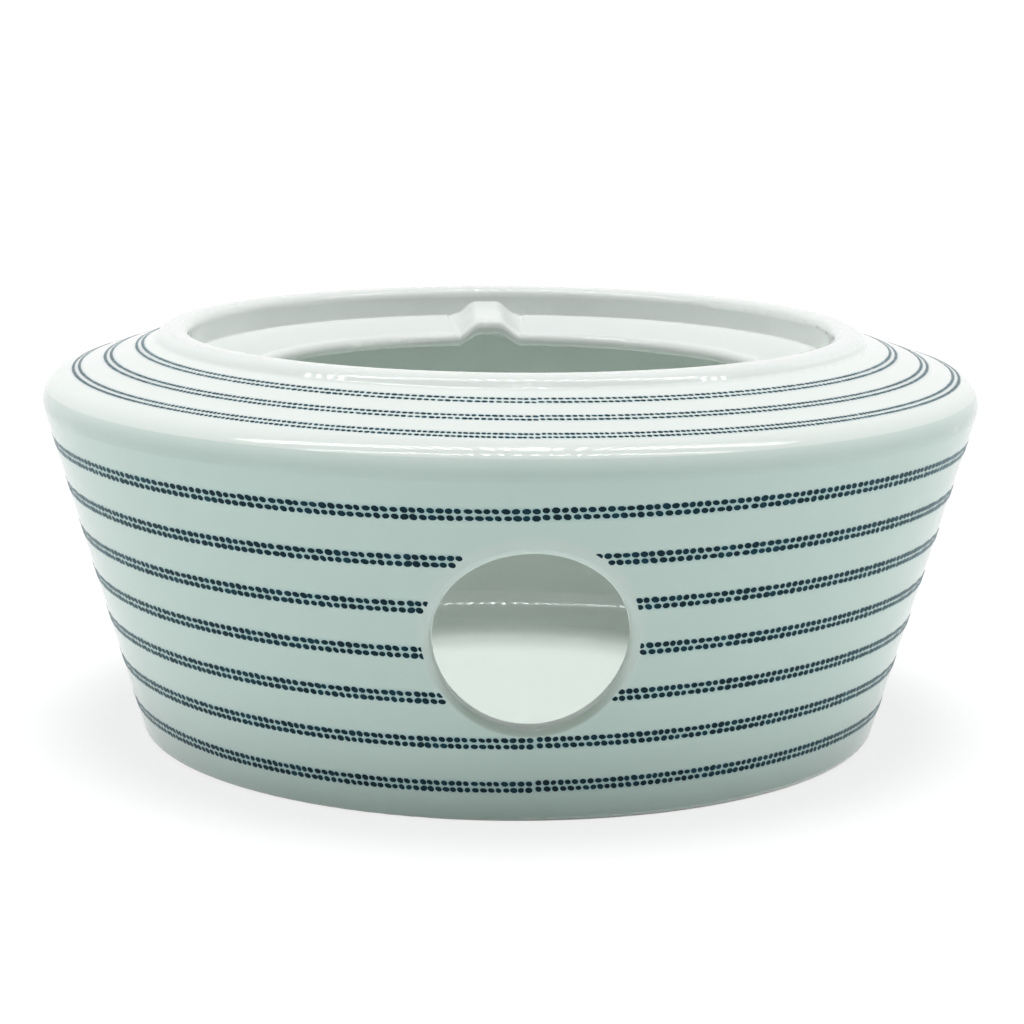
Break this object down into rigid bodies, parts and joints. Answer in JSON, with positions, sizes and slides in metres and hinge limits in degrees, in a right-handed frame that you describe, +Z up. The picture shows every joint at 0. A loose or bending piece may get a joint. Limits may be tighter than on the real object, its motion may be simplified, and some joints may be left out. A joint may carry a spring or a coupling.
{
  "type": "teapot warmer",
  "caption": "Round porcelain teapot warmer with a leaning wall, a collared seat for the pot over an open mouth, and a round candle opening in front.",
  "frame": {"origin": "centre of the foot ring, on the plane that the warmer stands on", "axes": "+Z up along the axis, -Y towards the round candle opening, +X to the right of it seen from the front"},
  "size_m": [0.149, 0.149, 0.0646],
  "materials": {
    "glazed_porcelain": "clear gloss glaze over pale green-white porcelain, with dark blue-green dotted rings under it"
  },
  "bodies": {
    "root": {"warmer_body": "glazed_porcelain"}
  },
  "joints": []
}
